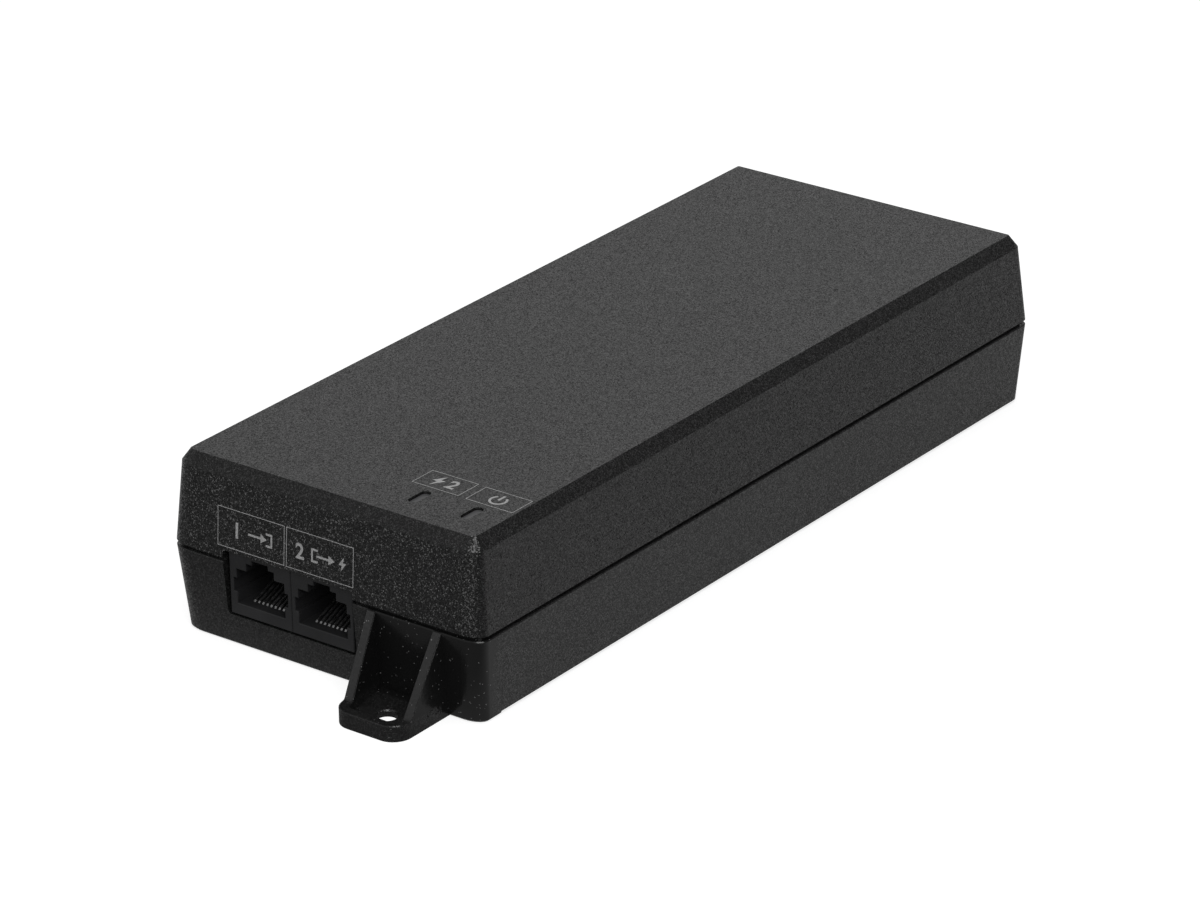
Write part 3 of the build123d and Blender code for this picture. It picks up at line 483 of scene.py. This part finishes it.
# %% Frames, arrows and brackets as flat polygons
FRAME_LINE = 0.13
STROKE = 0.42
ARROW_HEAD = 1.5
HEAD_HALF = 0.9375
BRACKET_REACH = 1.6
BRACKET_HALF = 1.4


def outline_frame(left, right, low, high):
    """Rectangle drawn as a thin line, in four mitred strips."""
    outer = [(left, low), (right, low), (right, high), (left, high)]
    turns = [(1, 1), (-1, 1), (-1, -1), (1, -1)]
    inner = [(x + FRAME_LINE * i, y + FRAME_LINE * j) for (x, y), (i, j) in zip(outer, turns)]
    return [[outer[i], outer[(i + 1) % 4], inner[(i + 1) % 4], inner[i]] for i in range(4)]


def arrow(tail, tip, height):
    """Straight arrow from tail to tip, at a height."""
    neck = tip - math.copysign(ARROW_HEAD, tip - tail)
    low, high = height - STROKE / 2, height + STROKE / 2
    return [[
        (tail, low), (neck, low), (neck, height - HEAD_HALF),
        (tip, height), (neck, height + HEAD_HALF), (neck, high), (tail, high),
    ]]


def port_bracket(x, height, open_to):
    """Square bracket that stands for a socket, with its back at x, open to one side (1 or -1)."""
    low, high = height - BRACKET_HALF, height + BRACKET_HALF
    end, inside = x + open_to * BRACKET_REACH, x + open_to * STROKE
    return [[
        (x, low), (end, low), (end, low + STROKE), (inside, low + STROKE),
        (inside, high - STROKE), (end, high - STROKE), (end, high), (x, high),
    ]]


# %% Flash and switch sign
RING_STEPS = 28
RING_GAP = math.radians(38)     # to each side of the top
BAR_REACH = 1.12                # in radii


def bolt(x, y, height):
    """Lightning flash."""
    points = [(0.12, 0.5), (-0.3, -0.06), (-0.04, -0.06), (-0.14, -0.5), (0.3, 0.1), (0.04, 0.1)]
    return [[(x + height * u, y + height * v) for u, v in points]]


def switch_sign(x, y, radius, line):
    """Ring open at the top, with a bar in the gap."""
    strips = []
    for i in range(RING_STEPS):
        ends = [math.pi / 2 + RING_GAP + 2 * (math.pi - RING_GAP) * (i + j) / RING_STEPS for j in (0, 1)]
        inner = [(x + (radius - line) * math.cos(a), y + (radius - line) * math.sin(a)) for a in ends]
        outer = [(x + radius * math.cos(a), y + radius * math.sin(a)) for a in ends]
        strips.append([outer[0], outer[1], inner[1], inner[0]])
    left, right, top = x - line / 2, x + line / 2, y + radius * BAR_REACH
    return strips + [[(left, y), (right, y), (right, top), (left, top)]]


# %% Figures from the built-in typeface
BOLDNESS = 0.02


def figure(text, x, y, height):
    """Bold digit as flat polygons, centred on a point."""
    curve = bpy.data.curves.new("figure", "FONT")
    curve.body = text
    curve.size = 1.0
    curve.offset = BOLDNESS
    writer = bpy.data.objects.new("figure", curve)
    bpy.context.scene.collection.objects.link(writer)
    bpy.context.view_layer.update()
    flat = bpy.data.meshes.new_from_object(writer)
    us = [v.co.x for v in flat.vertices]
    vs = [v.co.y for v in flat.vertices]
    scale = height / (max(vs) - min(vs))
    middle = ((max(us) + min(us)) / 2, (max(vs) + min(vs)) / 2)
    polygons = [
        [(x + scale * (us[i] - middle[0]), y + scale * (vs[i] - middle[1])) for i in face.vertices]
        for face in flat.polygons
    ]
    bpy.data.objects.remove(writer)
    bpy.data.meshes.remove(flat)
    return polygons


# %% Marks over the sockets
PARTING = 18.1
FRONT = -93.0
DRAFT = math.radians(4.5)
LABEL_LOW = 21.0
LABEL_HIGH = 29.1
LABEL_MIDDLE = 25.0
FIGURE_HEIGHT = 3.2


def on_front_wall(u, v):
    """Point of the leaning front wall at X = u and height v, in millimetres."""
    return Vector((u, FRONT + math.tan(DRAFT) * (v - PARTING), v)) * MM


front_normal = Vector((0, -math.cos(DRAFT), math.sin(DRAFT)))
data_marks = outline_frame(-25.8, -9.2, LABEL_LOW, LABEL_HIGH)
data_marks += figure("1", -21.0, LABEL_MIDDLE, FIGURE_HEIGHT)
data_marks += arrow(-18.2, -13.6, LABEL_MIDDLE) + port_bracket(-12.2, LABEL_MIDDLE, -1)
lay_ink("data_label", data_marks, on_front_wall, front_normal)
power_marks = outline_frame(-8.75, 7.7, LABEL_LOW, LABEL_HIGH)
power_marks += figure("2", -5.4, LABEL_MIDDLE, FIGURE_HEIGHT)
power_marks += port_bracket(-2.6, LABEL_MIDDLE, 1) + arrow(-1.3, 3.1, LABEL_MIDDLE)
power_marks += bolt(5.0, LABEL_MIDDLE, 3.0)
lay_ink("power_label", power_marks, on_front_wall, front_normal)

# %% Marks by the indicators
TOP = cad_box[1][2]
POE_MIDDLE = -74.05
SWITCH_MIDDLE = -74.5


def on_top(u, v):
    """Point of the flat top at X = u and Y = v, in millimetres."""
    return Vector((u * MM, v * MM, TOP))


poe_marks = outline_frame(9.9, 21.05, -77.2, -70.9)
poe_marks += bolt(13.9, POE_MIDDLE, 4.4) + figure("2", 17.3, POE_MIDDLE, 3.4)
lay_ink("poe_sign", poe_marks, on_top, Vector((0, 0, 1)))
switch_marks = outline_frame(22.9, 34.0, -77.4, -71.1)
switch_marks += switch_sign(28.45, SWITCH_MIDDLE, radius=1.9, line=0.5)
lay_ink("switch_sign", switch_marks, on_top, Vector((0, 0, 1)))

# %% [markdown]
# ## Floor and backdrop
# The floor is pale and matte. It is a real surface, so it keeps the object's soft shadow. What the
# camera sees of it is topped up towards white by an emission that only camera rays get, so the
# background needs no extra light on the object. Mirrored rays get an emission of their own, which
# is weaker, and is almost nothing on the floor in front, and so black plastic shows its shape. The
# matte colour is darker for every ray but the camera's, which keeps the walls from being lit by
# the floor.

# %% What each kind of ray sees
SHADE_LINE = -95.0 * MM
SHADE_SOFTNESS = 10.0 * MM


def seen_strength(tree, camera_level, mirrored_level):
    """Emission for camera rays, and another for mirrored and passing rays."""
    rays = tree.nodes.new("ShaderNodeLightPath")
    mirrored = maths(tree, "MAXIMUM", rays.outputs["Is Glossy Ray"], rays.outputs["Is Transmission Ray"])
    for_camera = maths(tree, "MULTIPLY", rays.outputs["Is Camera Ray"], camera_level)
    return maths(tree, "ADD", for_camera, maths(tree, "MULTIPLY", mirrored, mirrored_level)), rays


# %% Floor
FLOOR_COLOUR = 0.4
FLOOR_BOUNCE = 0.15
FLOOR_GLOW = 0.76
FLOOR_MIRRORED_BACK = 0.27
FLOOR_MIRRORED_FRONT = 0.01
FLOOR_REACH = 6.0


def floor_finish():
    """Matte floor that glows for the camera, and more faintly for what mirrors it."""
    material = bpy.data.materials.new("floor")
    material.use_nodes = True
    tree = material.node_tree
    tree.nodes.clear()
    output = tree.nodes.new("ShaderNodeOutputMaterial")
    matte = tree.nodes.new("ShaderNodeBsdfDiffuse")
    glow = tree.nodes.new("ShaderNodeEmission")
    both = tree.nodes.new("ShaderNodeAddShader")
    place = tree.nodes.new("ShaderNodeTexCoord")
    split = tree.nodes.new("ShaderNodeSeparateXYZ")
    tree.links.new(place.outputs["Object"], split.inputs["Vector"])
    ends = (SHADE_LINE - SHADE_SOFTNESS, SHADE_LINE + SHADE_SOFTNESS)
    mirrored_level = remap(tree, split.outputs["Y"], *ends, FLOOR_MIRRORED_FRONT, FLOOR_MIRRORED_BACK)
    strength, rays = seen_strength(tree, FLOOR_GLOW, mirrored_level)
    tree.links.new(strength, glow.inputs["Strength"])
    shade = remap(tree, rays.outputs["Is Camera Ray"], 0, 1, FLOOR_BOUNCE, FLOOR_COLOUR)
    tree.links.new(shade, matte.inputs["Color"])
    tree.links.new(matte.outputs["BSDF"], both.inputs[0])
    tree.links.new(glow.outputs["Emission"], both.inputs[1])
    tree.links.new(both.outputs["Shader"], output.inputs["Surface"])
    return material


floor_mesh = bpy.data.meshes.new("floor")
corners = [(FLOOR_REACH * i, FLOOR_REACH * j, 0) for i, j in ((-1, -1), (1, -1), (1, 1), (-1, 1))]
floor_mesh.from_pydata(corners, [], [(0, 1, 2, 3)])
floor_mesh.materials.append(floor_finish())
floor = bpy.data.objects.new("floor", floor_mesh)
bpy.context.scene.collection.objects.link(floor)
print("floor:", 2 * FLOOR_REACH, "m across")

# %% [markdown]
# ## Light
# Black plastic shows its form by what it mirrors. The world is white to the camera alone. To what
# mirrors it, it is lighter behind the object than in front, and it darkens to the right, which
# gives the top, the long side and the bevel between them their three tones. Soft lamps above,
# behind and to the sides give every face its plain light. A long low strip in front and a large
# lamp beside the camera make the texture glitter on the front wall, the bevels and the near corner.

# %% World
WORLD_FILL = 0.25
WORLD_MIRRORED_BACK = 0.33
WORLD_MIRRORED_FRONT = 0.24
WORLD_RIGHT_SHADE = 0.3
FRONT_TO_BACK = (-0.5, 0.5)
LEFT_TO_RIGHT = (-0.3, 0.45)


def studio_world():
    """World that is white to the camera, shaded to what mirrors it, and weak as plain light."""
    world = bpy.data.worlds.new("studio")
    world.use_nodes = True
    tree = world.node_tree
    sky = tree.nodes["Background"]
    sky.inputs["Color"].default_value = (1, 1, 1, 1)
    direction = tree.nodes.new("ShaderNodeTexCoord")
    split = tree.nodes.new("ShaderNodeSeparateXYZ")
    tree.links.new(direction.outputs["Generated"], split.inputs["Vector"])
    levels = (WORLD_MIRRORED_FRONT, WORLD_MIRRORED_BACK)
    backdrop = remap(tree, split.outputs["Y"], *FRONT_TO_BACK, *levels)
    side = remap(tree, split.outputs["X"], *LEFT_TO_RIGHT, 1, WORLD_RIGHT_SHADE)
    strength, rays = seen_strength(tree, 1.0, maths(tree, "MULTIPLY", backdrop, side))
    fill = maths(tree, "MULTIPLY", rays.outputs["Is Diffuse Ray"], WORLD_FILL)
    tree.links.new(maths(tree, "ADD", strength, fill), sky.inputs["Strength"])
    return world


bpy.context.scene.world = studio_world()
print("world:", WORLD_MIRRORED_FRONT, "to", WORLD_MIRRORED_BACK, "in a mirror,", WORLD_FILL, "as plain light")


# %% Lamps
def softbox(name, place, aim, size, watts):
    """Rectangular area lamp at a place, turned to a point."""
    lamp = bpy.data.lights.new(name, "AREA")
    lamp.shape = "RECTANGLE"
    lamp.size, lamp.size_y = size
    lamp.energy = watts
    holder = bpy.data.objects.new(name, lamp)
    holder.location = place
    holder.rotation_euler = (Vector(aim) - Vector(place)).to_track_quat("-Z", "Y").to_euler()
    bpy.context.scene.collection.objects.link(holder)
    print(name, size, "m,", watts, "W")


softbox("back_light", (-1.1, 1.4, 0.85), (0, 0, 0), (2.8, 1.6), 2)
softbox("over_light", (0, 0, 1.6), (0, 0, 0), (1.0, 1.0), 9)
softbox("side_light", (1.2, 1.3, 0.5), (0, 0, 0.02), (0.8, 0.6), 0.3)
softbox("front_light", (-0.1, -1.45, 0.12), (0, -0.09, 0.05), (2.4, 0.2), 3.6)
softbox("left_light", (-0.9, -1.1, 0.8), (0, -0.09, 0.02), (0.35, 0.35), 0.2)
softbox("near_light", (0.82, -0.87, 1.02), (0.03, -0.09, 0.03), (1.0, 1.0), 12)

# %% [markdown]
# ## Camera
# A long lens from the front right, a little above, keeps the case's long edges almost parallel.

# %% Camera
camera_data = bpy.data.cameras.new("camera")
camera_data.sensor_width = 36.0
camera_data.lens = 158.016
camera = bpy.data.objects.new("camera", camera_data)
camera.location = (0.58598, -0.76776, 0.45081)
camera.rotation_euler = [math.radians(angle) for angle in (65.6104, 0.9986, 37.1236)]
bpy.context.scene.collection.objects.link(camera)
bpy.context.scene.camera = camera
bpy.context.scene.view_settings.view_transform = "Standard"
print("camera:", camera_data.lens, "mm lens,", round(camera.location.length, 2), "m away")
